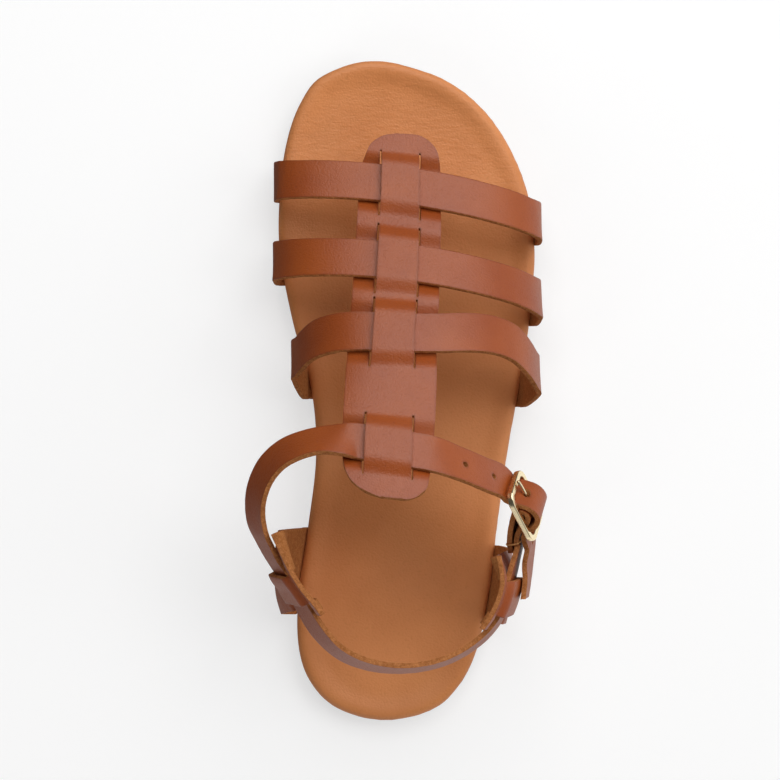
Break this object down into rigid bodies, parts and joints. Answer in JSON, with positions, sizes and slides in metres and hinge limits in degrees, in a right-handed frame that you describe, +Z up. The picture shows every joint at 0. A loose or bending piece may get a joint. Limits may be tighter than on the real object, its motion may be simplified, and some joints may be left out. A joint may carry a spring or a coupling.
{
  "type": "gladiator sandal",
  "caption": "Flat leather gladiator sandal for a right foot: bands over the foot woven through a slotted centre strip, open toe and heel, and a buckled ankle strap through side quarters.",
  "frame": {"origin": "on the floor, under the middle of the whole sandal's bounding box", "axes": "+Y from the heel to the toes, +X to the lateral (outer) side, +Z up from the floor"},
  "size_m": [0.1086, 0.2426, 0.0897],
  "materials": {
    "strap_leather": "waxed full-grain cognac leather with raw cut edges, suede flesh side",
    "footbed_leather": "smooth light tan leather with fine grain",
    "sole_rubber": "matt dark brown rubber",
    "buckle_metal": "polished light gold plating"
  },
  "bodies": {
    "root": {"outsole": "sole_rubber", "footbed": "footbed_leather", "band_front": "strap_leather", "band_middle": "strap_leather", "band_rear": "strap_leather", "centre_strip": "strap_leather", "quarter_lateral": "strap_leather", "quarter_medial": "strap_leather", "ankle_strap": "strap_leather", "buckle_frame": "buckle_metal", "buckle_pin": "buckle_metal"}
  },
  "joints": []
}
